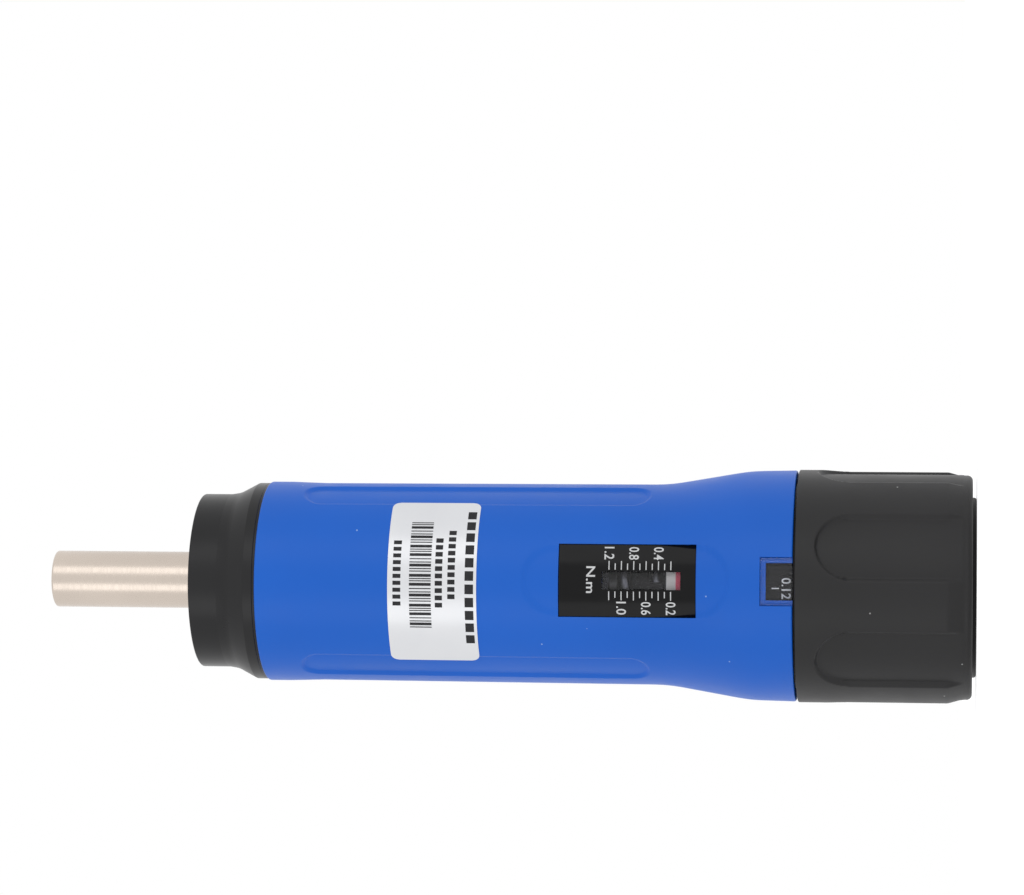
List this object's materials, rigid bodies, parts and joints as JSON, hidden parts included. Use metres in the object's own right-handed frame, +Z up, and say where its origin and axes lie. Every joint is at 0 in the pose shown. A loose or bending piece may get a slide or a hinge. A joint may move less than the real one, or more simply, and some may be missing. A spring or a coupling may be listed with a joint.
{
  "type": "torque screwdriver",
  "caption": "Preset torque screwdriver with a hex bit socket, a sleeve grip with a torque scale window, and a fluted adjusting knob that pulls back to unlock.",
  "frame": {"origin": "centre of the end cap's flat face, which the tool stands on", "axes": "+Z up along the tool's axis from the knob to the bit socket; the scale window faces -Y, and +X is to its right"},
  "size_m": [0.0352, 0.0352, 0.142],
  "materials": {
    "shank_steel": "lengthwise satin, warm grey",
    "collar_black": "satin black",
    "grip_blue": "satin moulded blue",
    "knob_black": "fine spark-textured dark grey",
    "cap_black": "satin dark grey",
    "dial_black": "gloss black",
    "plate_black": "gloss black with pale marks",
    "clear_window": "clear",
    "label_silver": "pale silver film",
    "flag_white": "off-white with a red end",
    "barrel_aluminium": "turned",
    "bronze": "sintered bronze",
    "nut_brass": "turned brass",
    "steel": "ground steel",
    "ball_steel": "polished balls",
    "spring_steel": "oiled spring steel",
    "magnet_nickel": "nickel plated magnet"
  },
  "bodies": {
    "handle": {"front_collar": "collar_black", "front_bush": "bronze", "thrust_washer": "steel", "barrel": "barrel_aluminium", "main_spring": "spring_steel", "screw_washer": "steel", "rear_bulkhead": "barrel_aluminium", "bulkhead_pins": "steel", "grip": "grip_blue", "label": "label_silver", "scale_plate": "plate_black", "scale_window": "clear_window", "dial_lens": "clear_window"},
    "drive_shaft": {"bit_holder": "shank_steel", "bit_magnet": "magnet_nickel", "clutch_cam": "steel", "cam_pin": "steel"},
    "clutch": {"clutch_plate": "steel", "clutch_balls": "ball_steel", "spring_seat": "steel"},
    "spring_carrier": {"spring_nut": "nut_brass", "indicator_flag": "flag_white"},
    "adjuster": {"adjusting_screw": "steel", "retaining_ring": "spring_steel", "lock_spring": "spring_steel", "knob_washer": "steel", "knob_screw": "steel"},
    "knob": {"knob": "knob_black", "end_cap": "cap_black", "dial_ring": "dial_black"}
  },
  "joints": [
    {"name": "shaft_slip", "type": "hinge", "parent": "handle", "child": "drive_shaft", "pos_m": [0, 0, 0.112], "axis": [0, 0, -1], "continuous": true},
    {"name": "clutch_lift", "type": "slide", "parent": "handle", "child": "clutch", "axis": [0, 0, -1], "range_m": [0, 0.0006], "stiffness_N_per_m": 7600, "springref_m": -0.005, "deforming": ["main_spring"]},
    {"name": "torque_set", "type": "hinge", "parent": "handle", "child": "adjuster", "pos_m": [0, 0, 0.037], "axis": [0, 0, 1], "range_deg": [-144, 1656]},
    {"name": "spring_feed", "type": "slide", "parent": "handle", "child": "spring_carrier", "axis": [0, 0, 1], "range_m": [-0.00074, 0.00849], "deforming": ["main_spring"]},
    {"name": "knob_pull", "type": "slide", "parent": "adjuster", "child": "knob", "axis": [0, 0, -1], "range_m": [0, 0.004], "stiffness_N_per_m": 600, "springref_m": -0.004, "deforming": ["lock_spring"]}
  ],
  "couplings": [
    {"joint": "spring_feed", "follows": "torque_set", "m_per_rad": 0.0002938}
  ]
}
